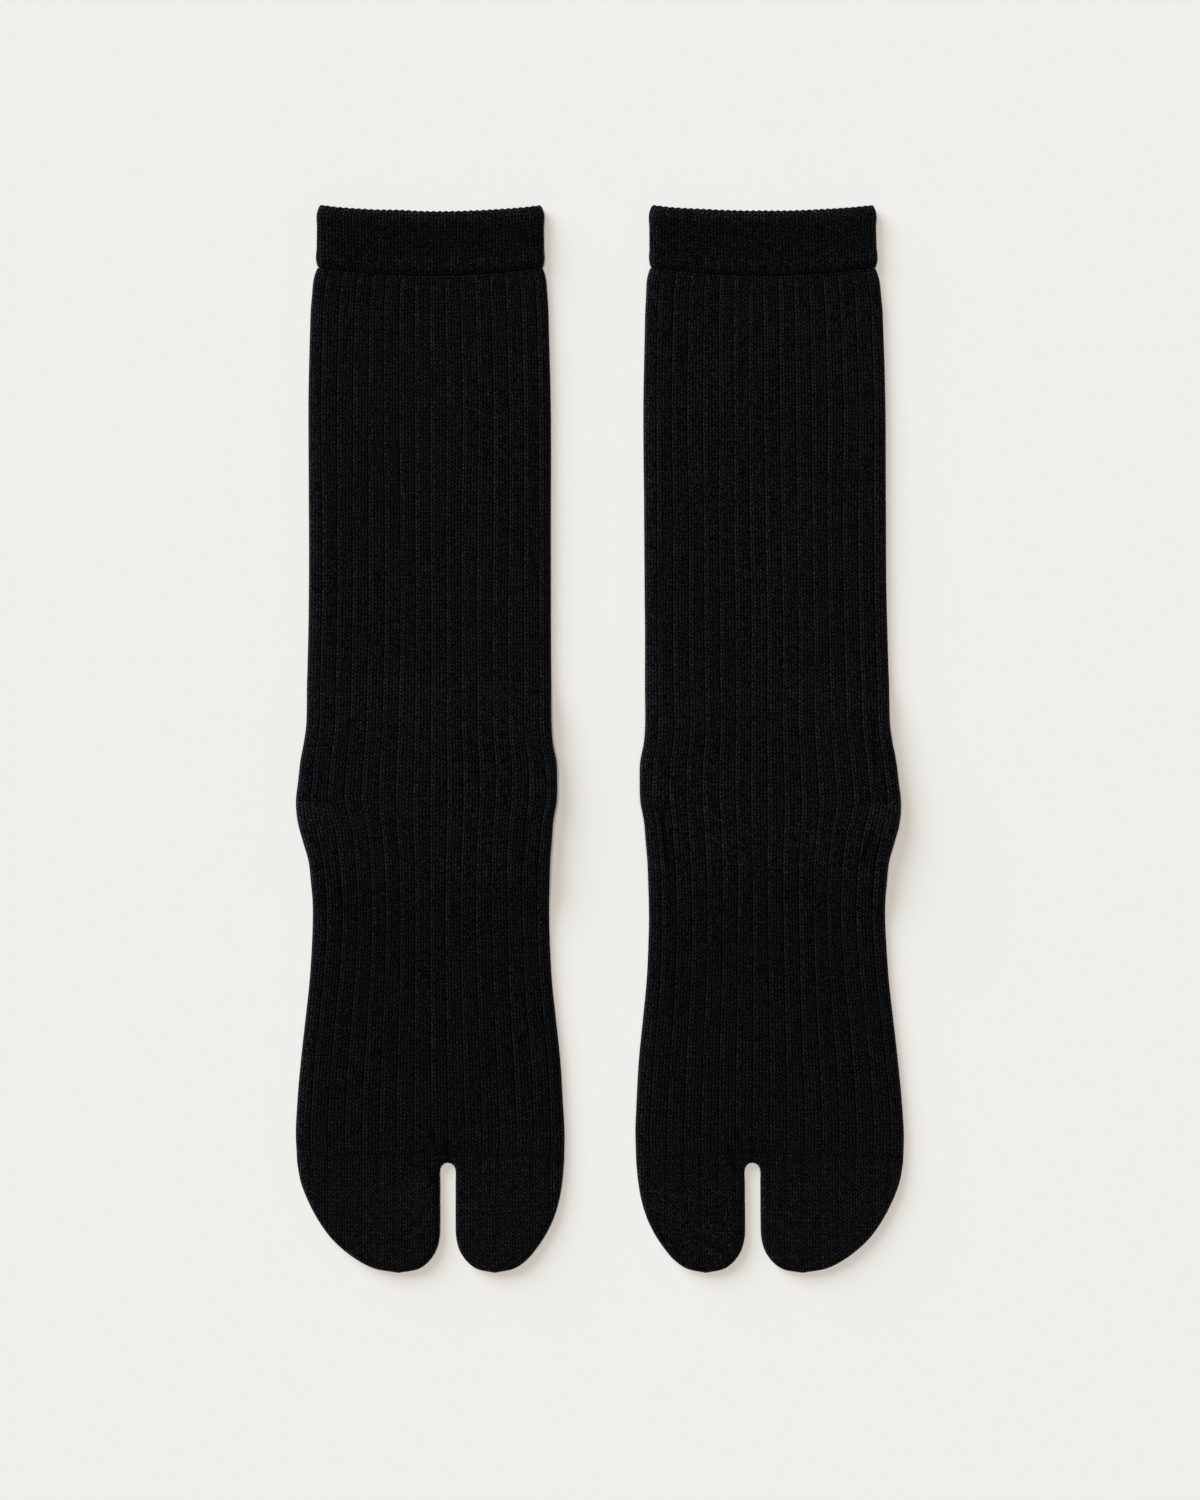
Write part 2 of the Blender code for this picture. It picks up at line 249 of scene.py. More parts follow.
# Troughs (depth above 0) and swellings (below 0) of each top layer, from one place to another:
# across and down where it starts, across and down where it ends, bow, width, depth.
creases = {
    "right_sock": np.array([
        (-51.5, 237.0, -38.0, 238.2, 0.5, 1.1, 0.40),
        (-50.0, 243.5, -38.0, 243.0, 0.0, 4.4, -0.40),
        (-47.8, 251.2, -43.4, 256.2, 0.2, 0.9, 0.35),
        (-42.8, 252.5, -40.4, 268.5, 0.4, 0.6, 0.7),
        (-37.6, 252.0, -33.6, 284.0, -0.9, 0.6, 0.6),
        (-43.2, 268.0, -43.0, 281.0, 0.0, 0.8, 0.30),
        (-40.0, 256.5, -37.0, 268.0, 0.3, 1.5, -0.30),
        (41.0, 236.0, 47.2, 236.6, 0.2, 0.8, 0.42),
        (44.5, 230.0, 43.0, 235.0, 0.0, 3.0, -0.22),
        (38.7, 242.5, 36.6, 265.0, 0.5, 0.9, 0.60),
        (42.8, 257.0, 42.2, 269.0, 0.2, 0.8, 0.45),
        (35.1, 246.0, 35.5, 264.0, 0.2, 0.8, 0.30),
        (0.4, 368.0, 4.4, 380.0, -0.7, 1.0, 0.42),
        (12.6, 370.5, 9.4, 380.0, 0.7, 0.9, 0.36),
        (-2.6, 374.0, 1.9, 390.0, -0.8, 1.1, 0.42),
        (2.0, 384.0, 2.4, 402.0, 0.0, 1.0, 0.22),
        (6.6, 372.5, 6.8, 380.2, 0.0, 1.5, 0.46),
        (-19.0, 395.4, -2.0, 394.8, 2.2, 0.8, -0.16),
    ]),
    "left_sock": np.array([
        (45.0, 237.6, 41.2, 243.4, 0.4, 0.8, 0.55),
        (41.5, 242.6, 38.8, 266.0, 0.7, 0.9, 0.68),
        (45.5, 231.0, 44.0, 237.0, 0.0, 3.2, -0.25),
        (36.0, 250.0, 35.4, 268.0, 0.2, 0.8, 0.28),
        (-42.8, 204.0, -43.3, 232.0, 0.2, 0.8, 0.50),
        (-51.0, 237.2, -40.5, 236.6, -0.4, 1.1, 0.34),
        (-50.0, 244.0, -40.5, 242.0, 0.0, 4.2, -0.38),
        (-42.4, 249.5, -36.8, 264.0, 0.4, 0.9, 0.60),
        (-44.6, 254.5, -41.8, 270.0, 0.3, 0.9, 0.52),
        (-47.6, 252.0, -45.2, 258.5, 0.2, 0.9, 0.35),
        (-39.6, 254.0, -37.9, 262.0, 0.1, 0.7, 0.30),
        (1.6, 371.0, 4.6, 380.0, -0.6, 0.9, 0.36),
        (12.8, 369.0, 9.2, 380.0, 0.8, 1.0, 0.44),
        (16.0, 374.5, 11.9, 389.0, 0.8, 1.0, 0.40),
        (6.9, 372.0, 6.8, 380.2, 0.0, 1.5, 0.44),
    ]),
}

# Sideways drifts of the ribs at the heel. lobe 1 is the great toe's side; share is where on the
# way round that side; a drift grows from start to peak, eases to rest by settle, ends by end:
# lobe, share, spread, start, peak, settle, end, most, rest.
drifts = {
    "right_sock": np.array([
        (-1, 0.340, 0.11, 236.0, 249.0, 262.0, 345.0, -2.7, -1.6),
        (1, 0.415, 0.06, 214.0, 237.0, 249.0, 268.0, 1.0, 0.4),
    ]),
    "left_sock": np.array([
        (-1, 0.350, 0.10, 237.0, 250.0, 264.0, 340.0, -2.3, -1.5),
        (1, 0.415, 0.06, 216.0, 238.0, 248.0, 268.0, 0.9, 0.5),
    ]),
}


endFade = 0.3               # a crease fades over about this share of its length, at each end


def creaseField(name, across, down):
    # Each crease is a Gaussian across its bowed line, fading to nothing at both ends.
    total = np.zeros_like(across)
    for a0, d0, a1, d1, bow, width, depth in creases[name]:
        length = math.hypot(a1 - a0, d1 - d0)
        ua, ud = (a1 - a0) / length, (d1 - d0) / length
        along = ((across - a0) * ua + (down - d0) * ud) / length
        aside = (across - a0) * ud - (down - d0) * ua
        middle = bow * 4.0 * np.clip(along, 0, 1) * (1.0 - np.clip(along, 0, 1))
        fade = smoothStep(along / endFade + endFade) * smoothStep((1.0 - along) / endFade + endFade)
        total -= depth * fade * bell(aside - middle, width)
    return total


def driftField(name, lobe, downs, places):
    # How far the ribs slide round the tube: for each drift, a Gaussian round the tube times a
    # rise, a partial fall and a slow end down the sock.
    total = np.zeros((len(downs), len(places)))
    for side, share, spread, start, peak, settle, end, most, rest in drifts[name]:
        if side == lobe:
            size = np.interp(downs, [start, peak, settle, end], [0.0, most, rest, 0.0])
            total += size[:, None] * bell(places - share, spread)[None, :]
    return total


def section(x, start, end, normal, half):
    # Half of the flattened tube's section: from start over the top to end, round the side fold,
    # a half circle of radius half, and back underneath. x is the distance along it. start, end
    # and normal are plan points (across, down) for each row.
    flat = np.maximum(np.hypot(*(end - start).T), 1e-9)[:, None]
    turn = np.clip((x - flat) / half, 0.0, math.pi)
    over = np.clip(x, 0.0, flat)
    under = np.clip(x - flat - math.pi * half, 0.0, flat)
    share = ((over - under) / flat)[..., None]
    base = start[:, None, :] + (end - start)[:, None, :] * share
    aside = normal[:, None, :]
    plan = base + aside * (half * np.sin(turn))[..., None]
    rolled = np.where(turn < math.pi / 2, turn, math.pi - turn)
    chart = base + aside * (half * rolled)[..., None]
    facing = np.concatenate([aside * np.sin(turn)[..., None], np.cos(turn)[..., None]], axis=2)
    return plan, half * np.cos(turn), facing, chart


def slotFold(start, away, count, half):
    # The fold along the slot: a half circle from underneath to the top, without its two ends.
    turn = np.tile(math.pi * np.arange(1, count) / count, (len(start), 1))
    aside = away[:, None, :]
    plan = start[:, None, :] + aside * (half * np.sin(turn))[..., None]
    rolled = np.where(turn > math.pi / 2, math.pi - turn, turn)
    chart = start[:, None, :] + aside * (half * rolled)[..., None]
    facing = np.concatenate([aside * np.sin(turn)[..., None], -np.cos(turn)[..., None]], axis=2)
    return plan, -half * np.cos(turn), facing, chart


def lobeCurve(lobe, which):
    # One edge of a toe lobe in plan, from the slot's top to the lobe's end, as a fine polyline.
    name = "great" if lobe > 0 else "little"
    down = toeRows[:, 0]
    if which == "side":
        edge = lobe * toeRows[:, toeColumns.index(name)]
        start = tubeRows[-1, tubeColumns.index("inner" if lobe > 0 else "outer")]
        first = [[lobe * start, pair["slotTop"]]]
    else:
        edge = pair["slotOffset"] + lobe * toeRows[:, toeColumns.index("slot")]
        turn = np.radians([0.0, 22.5, 45.0, 67.5, 90.0])
        first = np.stack([pair["slotOffset"] + lobe * pair["slotHalf"] * np.sin(turn),
                          pair["slotTop"] + pair["slotHalf"] * (1 - np.cos(turn))], axis=1)
    points = np.concatenate([first, np.stack([edge, down], axis=1),
                             [[toeTips[name], pair["length"]]]])
    reach = np.append(0.0, np.cumsum(np.hypot(*np.diff(points, axis=0).T)))
    return smoothRead(reach, points, np.linspace(0.0, reach[-1], 801))


def lobeEdge(lobe, which, rows):
    # rows points along a lobe's edge, evenly spaced, and the direction away from the cloth.
    fine = lobeCurve(lobe, which)
    tangent = np.gradient(fine, axis=0)
    tangent /= np.hypot(*tangent.T)[:, None]
    sign = lobe if which == "side" else -lobe
    normal = sign * np.stack([tangent[:, 1], -tangent[:, 0]], axis=1)
    normal[0] = (lobe, 0.0) if which == "side" else (0.0, 1.0)
    normal[-1] = (0.0, 1.0)
    at = np.linspace(0, len(fine) - 1, rows)
    index = np.arange(len(fine))
    edge = np.stack([np.interp(at, index, fine[:, k]) for k in (0, 1)], axis=1)
    away = np.stack([np.interp(at, index, normal[:, k]) for k in (0, 1)], axis=1)
    return edge, away / np.hypot(*away.T)[:, None]


def ribPattern(ribs, forward, step):
    # Round one side of the tube from the slot's line: where each column lies, from 0 to 1, its
    # height in the rib, and the wale at the two edges of each strip of faces, in ribs and plain.
    # Wales count in one direction round the sock, so the pattern is turned where not forward.
    inRib = ribPlaces[::step]
    places = np.append((np.arange(ribs)[:, None] + inRib).ravel() / ribs, 1.0)
    heights = np.append(np.tile(ribHeights[::step], ribs), ribHeights[0])
    nearer, farther = np.tile(inRib, ribs), np.tile(np.append(inRib[1:], 1.0), ribs)
    rib = np.repeat(np.arange(ribs), len(inRib)) * body["wales"]
    wales = {kind: np.stack([rib + nearer * size, rib + farther * size])
             for kind, size in (("ribbed", body["ribWales"]), ("plain", body["wales"]))}
    if not forward:
        places, heights = 1.0 - places[::-1], heights[::-1]
        wales = {kind: w[::-1, ::-1] - body["wales"] * ribs for kind, w in wales.items()}
    return places, heights, wales


def courseAt(down):
    # Rows of stitches from the cuff's top: short ones in the ribs, taller ones in the toes.
    ribbed = np.minimum(down, body["plainFrom"]) / body["course"]
    return ribbed + np.maximum(down - body["plainFrom"], 0.0) / body["toeCourse"]


def tubeHalf(name, sock, lobe, downs, half, step):
    # Half of the tube, round one side from the slot's line: its section at each row, with the
    # ribs' columns at their shares of the way round, slid by the drifts.
    places, heights, wales = ribPattern(body["ribs"][lobe], lobe * sock["side"] > 0, step)
    inner, outer = tubeAt("inner", downs), tubeAt("outer", downs)
    middle = pair["slotOffset"] * (inner + outer) / (inner + outer)[-1]
    sink = body["half"] * smoothStep((downs - pair["slotTop"]) / body["slotDip"] + 1.0)
    start = np.stack([middle, downs - sink], axis=1)
    edge = inner if lobe > 0 else outer
    end = np.stack([lobe * (edge - body["half"]), downs], axis=1)
    normal = np.tile([float(lobe), 0.0], (len(downs), 1))
    whole = 2 * np.hypot(*(end - start).T)[:, None] + math.pi * half
    x = np.clip(places * whole + driftField(name, lobe, downs, places), 0.0, whole)
    x[:, -1:] = whole
    return {"tube": section(x, start, end, normal, half), "heights": heights, "wales": wales,
            "places": places, "count": len(places) - 1, "ribs": body["ribs"][lobe]}


def lobeRings(lobe, own, rows, folds, half):
    # One toe lobe from the slot's top to its end: over the top, round the side fold, back
    # underneath and round the fold along the slot. Also the width of its flat part at the slot.
    side, sideAway = lobeEdge(lobe, "side", rows + 1)
    slot, slotAway = lobeEdge(lobe, "slot", rows + 1)
    start = slot - slotAway * body["half"]
    end = side - sideAway * body["half"]
    start[-1] = end[-1] = (start[-1] + end[-1]) / 2
    flat = np.hypot(*(end - start).T)
    whole = 2 * flat + math.pi * half
    # the columns slide to even spacing, so that at the end the two folds meet
    count = own["count"]
    flats = (count - folds) // 2
    even = np.stack([np.interp(np.arange(count + 1), [0, flats, flats + folds, count],
                               [0, f, f + math.pi * half, w]) for f, w in zip(flat, whole)])
    mix = smoothStep(np.linspace(0.0, 1.0, rows + 1) * body["tipEven"])[:, None]
    x = own["places"] * whole[:, None] * (1 - mix) + even * mix
    rings = [np.concatenate(both, axis=1) for both in
             zip(section(x, start, end, sideAway, half), slotFold(start, slotAway, folds, half))]
    return rings, flat[0]


def lobeChart(sock, lobe, own, chart, flat, folds):
    # The wales stay straight in the toes: top and underside each have a flat chart, counted
    # across from the slot's line as on the tube's last row.
    girth = 2 * flat + math.pi * body["half"]
    sign = 1.0 if lobe * sock["side"] > 0 else -1.0
    wales = sign * body["wales"] * own["ribs"]
    above = wales * lobe * (chart[..., 0] - pair["slotOffset"]) / girth
    below = wales - above
    course = courseAt(chart[..., 1])
    count = own["count"]
    under = np.zeros(count + folds, bool)
    under[(count - folds) // 2 + folds // 2: count + (folds - folds // 2)] = True
    wale = np.where(under, below, above)
    waleNext = np.where(under, np.roll(below, -1, axis=1), np.roll(above, -1, axis=1))
    courseNext = np.roll(course, -1, axis=1)
    return charted((wale[:-1], course[:-1]), (wale[1:], course[1:]),
                   (waleNext[1:], courseNext[1:]), (waleNext[:-1], courseNext[:-1]))


def bodyWall(name, sock, rows, lobeRows, half, step):
    # One wall of the body. Its rings go from the slot's line over the top to the inner side,
    # back underneath to the slot's line and on round the outer side. At the slot each ring
    # parts into two, which share the web between the toes.
    downs = np.linspace(tubeRows[0, 0], pair["slotTop"], rows + 1)
    folds = body["foldColumns"] // step
    great, little = (tubeHalf(name, sock, lobe, downs, half, step) for lobe in (1, -1))
    tube = [np.concatenate([a, b[:, -2:0:-1]], axis=1)
            for a, b in zip(great["tube"], little["tube"])]
    heights = np.concatenate([great["heights"], little["heights"][-2:0:-1]])
    columns = great["count"] + little["count"]
    ids = np.arange((rows + 1) * columns).reshape(rows + 1, columns)
    pieces = [[p.reshape((-1,) + p.shape[2:]) for p in tube]
              + [np.tile(heights, rows + 1), np.repeat(downs, columns)]]
    # the tube's faces, with the wale at each strip's two edges
    plain = ((downs[:-1] + downs[1:]) / 2 > body["plainFrom"])[:, None]
    wales = {kind: np.concatenate([great["wales"][kind], little["wales"][kind][::-1, ::-1]], axis=1)
             for kind in ("ribbed", "plain")}
    left, right = (np.where(plain, wales["plain"][k], wales["ribbed"][k]) for k in (0, 1))
    course = np.repeat(courseAt(downs)[:, None], columns, axis=1)
    faces = [ringQuads(ids).reshape(-1, 4)]
    uvs = [charted((left, course[:-1]), (left, course[1:]), (right, course[1:]),
                   (right, course[:-1]))]
    web = ids.size + np.arange(folds - 1)
    total = ids.size + len(web)
    for lobe, own in ((1, great), (-1, little)):
        rings, flat = lobeRings(lobe, own, lobeRows, folds, half)
        if lobe > 0:
            pieces.append([p[0, -len(web):] for p in rings]
                          + [np.zeros(len(web)), np.full(len(web), pair["slotTop"])])
            first = np.concatenate([ids[-1, : own["count"] + 1], web])
        else:
            first = np.concatenate([ids[-1, :1], ids[-1, -1: -(own["count"] + 1): -1], web])
        width = own["count"] + folds
        added = lobeRows * width
        lobeIds = total + np.arange(added).reshape(lobeRows, width)
        total += added
        pieces.append([p[1:].reshape((-1,) + p.shape[2:]) for p in rings]
                      + [np.zeros(added), np.full(added, pair["slotTop"])])
        quads = ringQuads(np.concatenate([first[None, :], lobeIds])).reshape(-1, 4)
        chart = lobeChart(sock, lobe, own, rings[3], flat, folds)
        if lobe < 0:
            quads, chart = quads[:, ::-1], chart[:, ::-1]
        faces.append(quads)
        uvs.append(chart)
    points = [np.concatenate([p[k] for p in pieces]) for k in range(len(pieces[0]))]
    return points, faces, uvs, ids[0], (left[0], right[0])


def edgeShade(sock, across, down, downs, edge):
    # Painted highlight along the edge that faces the light: a Gaussian of the distance from it. The
    # outer heel's fold gets a painted highlight too, the slot's edge that faces the light a painted
    # highlight, and its far edge, the web just above it and the seam painted shade.
    side = sock["side"]
    band, heel, slot, seam = (body[k] for k in ("litEdge", "litHeel", "slotShade", "seamShade"))
    inward = np.maximum(edge - np.abs(across), 0.0)
    # painted highlight on the edge that faces the light, and on the outer heel's fold
    lit = band["most"] * bell(edge + side * across, band["width"])
    onHeel = bell(downs - heel["down"], heel["length"]) * bell(inward, heel["width"])
    lit = lit + heel["most"] * onHeel * (across < 0)
    # painted shade on the slot's edge that faces away from the light and on the web above it,
    # painted highlight on the edge that faces the light
    aside = across - pair["slotOffset"]
    gap = np.interp(down, toeRows[:, 0], toeRows[:, toeColumns.index("slot")])
    near = np.hypot(aside, np.minimum(down - pair["slotTop"] - gap, 0.0)) - gap
    far = np.where(side * aside < 0, -slot["dark"], slot["light"])
    far = np.where(down < pair["slotTop"] + slot["lip"], -slot["above"], far)
    # painted shade in the seam's groove, under the cuff's edge
    dark = seam["most"] * bell(downs - pair["cuffDepth"], seam["width"])
    return lit + far * bell(np.maximum(near, 0.0), slot["width"]) - dark


def wander(kind, seed, across, down, edge):
    # Smooth noise that fades out towards the sides of the tube.
    size = body[kind]
    fade = np.clip((edge - np.abs(across)) / size["fromEdge"], 0.0, 1.0)
    return size["most"] * waves(across, down, seed, size["across"], size["down"]) * fade


def outsideForm(name, sock, across, down, downs, edge, facing, rib):
    # What the outside adds to a smooth tube: relief along its normals, height, a slide sideways, and
    # two marks for the material: painted shade and highlights, and how calm the ribs are. The ribs'
    # relief is uneven by smooth noise, and creases, swellings and a slope at the sides add to the
    # height.
    seed = sock["seed"]
    upper = smoothStep(facing[:, 2] * body["topSharp"])
    lower = smoothStep(-facing[:, 2] * body["underSharp"])
    ribbed = smoothStep((body["ribsFlat"] - downs) / body["ribsFade"])
    crease = creaseField(name, across, down) * upper
    hidden = creaseField(name, across, down - body["hiddenShift"]) * lower * body["hiddenShare"]
    calm = np.clip(crease, 0.0, 1.0)
    rough, puff, groove, crown = (body[k] for k in ("uneven", "puff", "seamGroove", "crown"))
    uneven = 1.0 + rough["most"] * waves(across, down, seed, rough["across"], rough["down"])
    relief = rib * ribbed * uneven * (1.0 - body["calmed"] * calm)
    relief = relief - body["pressed"] * lower * ribbed
    relief = relief + puff["most"] * bell(down - puff["down"], puff["width"]) * upper
    relief = relief - groove["deep"] * bell(down - pair["cuffDepth"], groove["width"])
    slope = crown["most"] * np.exp(-np.maximum(edge - np.abs(across), 0.0) / crown["width"])
    swell = wander("swell", seed + 5, across, down, edge)
    height = (swell - slope) * upper - hidden + crease
    slide = wander("slide", seed + 9, across, down, edge) * upper * ribbed
    # painted shade in the creases' troughs, a painted highlight on the swellings, and the edges'
    # painted highlights and shade
    shade = crease + hidden + edgeShade(sock, across, down, downs, edge) * upper
    return relief, height, slide, shade, calm


def bodyPoints(name, sock, wall, outside):
    # The wall's points, moved along their normals by the relief, down by the seam's bow and up
    # by the heel pocket's lift, and never lower than where the cloth rests.
    plan, level, facing, _, rib, downs = wall
    across, down = plan[:, 0], plan[:, 1]
    edge = np.where(across > 0, tubeAt("inner", downs), tubeAt("outer", downs))
    relief = height = slide = shade = calm = np.zeros_like(across)
    if outside:
        relief, height, slide, shade, calm = outsideForm(
            name, sock, across, down, downs, edge, facing, rib)
    across = across + facing[:, 0] * relief + slide
    down = down + facing[:, 1] * relief + bowAt(across, downs, edge)
    z = body["half"] + level + facing[:, 2] * relief + height
    z = np.maximum(z, body["rest"] if outside else body["insideRest"])
    lift = np.maximum(tubeAt("lift", downs), 0.0)
    return placed(sock, across, down, lift + z), shade, calm


def buildBody(name, sock):
    # The outer wall and a coarser inner one, joined by a rim at the cuff's seam.
    step = body["insideStep"]
    outer, faces, uvs, outerRim, rimWales = bodyWall(
        name, sock, body["rows"], body["lobeRows"], body["half"], 1)
    inner, innerFaces, innerUvs, innerRim, _ = bodyWall(
        name, sock, body["insideRows"], body["insideLobeRows"], body["half"] - body["wall"], step)
    outerPoints, shade, calm = bodyPoints(name, sock, outer, True)
    innerPoints, hidden, _ = bodyPoints(name, sock, inner, False)
    count = len(outerPoints)
    faces = faces + [f[:, ::-1] + count for f in innerFaces]
    uvs = uvs + [u[:, ::-1] for u in innerUvs]
    # along the rim each strip of the inside meets a fan of strips of the outside
    turn = (step + 1) // 2
    columns = np.arange(len(outerRim))
    near = innerRim[(columns // step + (columns % step >= turn)) % len(innerRim)] + count
    fans = np.stack([outerRim, np.roll(outerRim, -1), near], axis=1)
    gaps = np.stack([innerRim + count, outerRim[turn::step], np.roll(innerRim, -1) + count], axis=1)
    wales = np.stack([rimWales[0], rimWales[1], rimWales[0]], axis=1)
    top = courseAt(tubeRows[0, 0])
    fanUvs = np.stack([wales, np.tile([top, top, top - 1], (len(fans), 1))], axis=2)
    faces += [fans, gaps]
    uvs += [fanUvs, fanUvs[turn::step]]
    points = np.concatenate([outerPoints, innerPoints])
    marks = {"shade": np.append(shade, hidden), "calm": np.append(calm, hidden)}
    made = meshFrom(name + "_body_knit", sock, points, faces, uvs, marks)
    weld(made)
    return made


# The cuff: a plain welt, folded double.
cuff = {
    "level": 2.6,           # middle of the tube above the surface
    "wales": 72,            # all round
    "waleColumns": 4,
    "course": 1.51,
    "bowEdge": {1: 45.4, -1: 45.7},     # the bow of its rows ends here, on each side
    "ridge": 0.26,          # a wale's relief, and how far all of them are sunk
    "sunk": 0.2,
    "roll": {"most": 0.3, "down": 21.0, "width": 2.6},      # it swells above the seam
    "uneven": {"most": 0.14, "across": 7.0, "down": 9.0},
    "scallop": 0.42,        # stitches' bumps on the top edge, which reach this far down
    "scallopReach": 1.4,
    "wobble": {"most": 0.25, "across": 12.0, "down": 50.0},
    # painted highlights at its top edge, on its roll and along its side that faces the light, how
    # much darker it is elsewhere, and painted shade at the seam
    "litTop": {"most": 1.3, "width": 3.0},
    "litRoll": {"most": 0.22, "down": 20.5, "width": 2.6},
    "litEdge": {"most": 0.9, "width": 3.2},
    "dull": 0.14,
    "seamShade": {"most": 0.4, "width": 1.0},
    "litFacing": -0.1,      # points that face farther down than this get none of the painted highlights or shade
}
cuffColumns = ("down", "inner", "outer", "half")
cuffRows = np.array([
    (0.0, 44.3, 44.5, 2.3), (2.4, 45.2, 45.4, 2.6), (9.0, 45.3, 45.5, 2.6),
    (17.0, 45.3, 45.6, 2.6), (22.5, 45.2, 45.6, 2.5), (24.65, 45.0, 45.3, 2.2),
])
# From the seam up the outside, over the rim and down the inside: down, and depth into the wall,
# which is 2 mm thick, both layers of the fold.
cuffProfile = np.concatenate([
    [(24.6, 0.45), (24.3, 0.12)],
    np.stack([np.linspace(23.6, 1.6, 26), np.zeros(26)], axis=1),
    [(0.9, 0.02), (0.4, 0.14), (0.1, 0.42), (0.0, 0.85), (0.1, 1.35), (0.5, 1.75), (1.2, 1.95),
     (4.0, 2.0), (10.0, 2.0), (17.0, 2.0), (23.4, 2.0), (24.6, 1.6)],
])


def cuffAt(name, down):
    return smoothRead(cuffRows[:, 0], cuffRows[:, cuffColumns.index(name)], down)


def cuffShade(sock, across, down, edge):
    # Painted highlights at the top edge, on the roll and along the side that faces the light, and
    # painted shade at the seam: Gaussians of the distance from each.
    top, roll, side, seam = (cuff[k] for k in ("litTop", "litRoll", "litEdge", "seamShade"))
    lit = top["most"] * bell(down, top["width"])
    lit = lit + roll["most"] * bell(down - roll["down"], roll["width"])
    lit = lit + side["most"] * bell(edge + sock["side"] * across, side["width"]) - cuff["dull"]
    return lit - seam["most"] * bell(down - pair["cuffDepth"], seam["width"])


def buildCuff(name, sock):
    # The profile carried round the flattened tube. The outside's relief is a cosine ridge for
    # each wale, a roll above the seam and smooth noise; the top edge has a scallop a stitch.
    downs, depth = cuffProfile.T
    half = cuffAt("half", downs)
    count = cuff["wales"] // 2 * cuff["waleColumns"]
    parts, wales = [], []
    for lobe, side in ((1, "inner"), (-1, "outer")):
        start = np.stack([np.zeros_like(downs), downs], axis=1)
        end = np.stack([lobe * (cuffAt(side, downs) - half), downs], axis=1)
        normal = np.tile([float(lobe), 0.0], (len(downs), 1))
        radius = (half - depth)[:, None]
        whole = 2 * np.hypot(*(end - start).T)[:, None] + math.pi * radius
        parts.append(section(np.linspace(0.0, 1.0, count + 1) * whole, start, end, normal, radius))
        wales.append(lobe * np.linspace(0.0, cuff["wales"] / 2, count + 1))
    plan, level, facing, _ = (np.concatenate([a, b[:, -2:0:-1]], axis=1) for a, b in zip(*parts))
    wale = np.concatenate([wales[0], wales[1][-2:0:-1]])
    across, down = plan[..., 0], plan[..., 1]
    edge = np.where(across > 0, cuff["bowEdge"][1], cuff["bowEdge"][-1])
    # painted highlights and shade, only where the cloth faces up or sideways
    lit = cuffShade(sock, across, down, edge)
    marks = {"shade": np.where(facing[..., 2] > cuff["litFacing"], lit, 0.0),
             "calm": np.zeros_like(lit)}
    seed, roll, rough, wobble = sock["seed"], cuff["roll"], cuff["uneven"], cuff["wobble"]
    ridge = 0.5 - 0.5 * np.cos(2 * math.pi * wale)
    relief = cuff["ridge"] * ridge - cuff["sunk"]
    relief = relief + roll["most"] * bell(down - roll["down"], roll["width"])
    relief = relief + rough["most"] * waves(across, down, seed, rough["across"], rough["down"])
    relief = np.where((depth < 1.0)[:, None], relief, 0.0)
    fuzz = cuff["scallop"] * (ridge - 0.5) + wobble["most"] * waves(
        across, down, seed + 2, wobble["across"], wobble["down"])
    rim = bell(down, cuff["scallopReach"])
    across = across + facing[..., 0] * relief
    down = down + bowAt(across, down, edge) - rim * fuzz
    z = np.maximum(cuff["level"] + level + facing[..., 2] * relief, body["rest"])
    points = placed(sock, across, down, z).reshape(-1, 3)
    # the rows close into a ring too: seam, outside, rim, inside and back to the seam
    rows, columns = plan.shape[:2]
    ids = np.arange(rows * columns).reshape(rows, columns)
    around, below = np.roll(ids, -1, axis=1), np.roll(ids, -1, axis=0)
    belowAround = np.roll(around, -1, axis=0)
    faces = np.stack([ids, around, belowAround, below], axis=-1).reshape(-1, 4)
    reach = np.append(0.0, np.cumsum(np.hypot(*np.diff(cuffProfile, axis=0).T)))
    course = np.append(-reach, -reach[-1] - 1.0)[:, None] / cuff["course"]
    course = np.repeat(course, columns, axis=1)
    left = np.tile(np.concatenate([wales[0][:-1], wales[1][:0:-1]]), (rows, 1))
    right = np.tile(np.concatenate([wales[0][1:], wales[1][-2::-1]]), (rows, 1))
    uvs = charted((left, course[:-1]), (right, course[:-1]), (right, course[1:]),
                  (left, course[1:]))
    return meshFrom(name + "_cuff_knit", sock, points, [faces], [uvs], marks)


# The heel pocket: folded flat under the tube, two layers that show at its edge.
pocket = {
    "thick": 3.2,
    "columns": 56,
    "rows": 60,
    "wale": 2.2,
    "course": 1.5,
    "edge": 0.7,            # the layered edge is this wide
    "underWales": 40.0,     # the underside's chart starts this many wales on
}
# down, share of the tube's width, share of the thickness
pocketRows = np.array([
    (210.0, 0.66, 0.0), (210.6, 0.71, 0.7), (213.0, 0.79, 1.0), (219.0, 0.91, 1.0),
    (228.0, 0.97, 1.0), (238.0, 0.975, 1.0), (248.0, 0.97, 1.0), (257.0, 0.91, 1.0),
    (263.0, 0.79, 1.0), (265.4, 0.71, 0.7), (266.0, 0.66, 0.0),
])
# The edge of the two layers, from the top down: how far in from the edge, and how high.
pocketEdge = np.array([(0.25, 0.95), (0.03, 0.85), (0.0, 0.72), (0.15, 0.6), (0.75, 0.52),
                       (0.75, 0.48), (0.15, 0.4), (0.0, 0.28), (0.03, 0.15), (0.25, 0.05)])


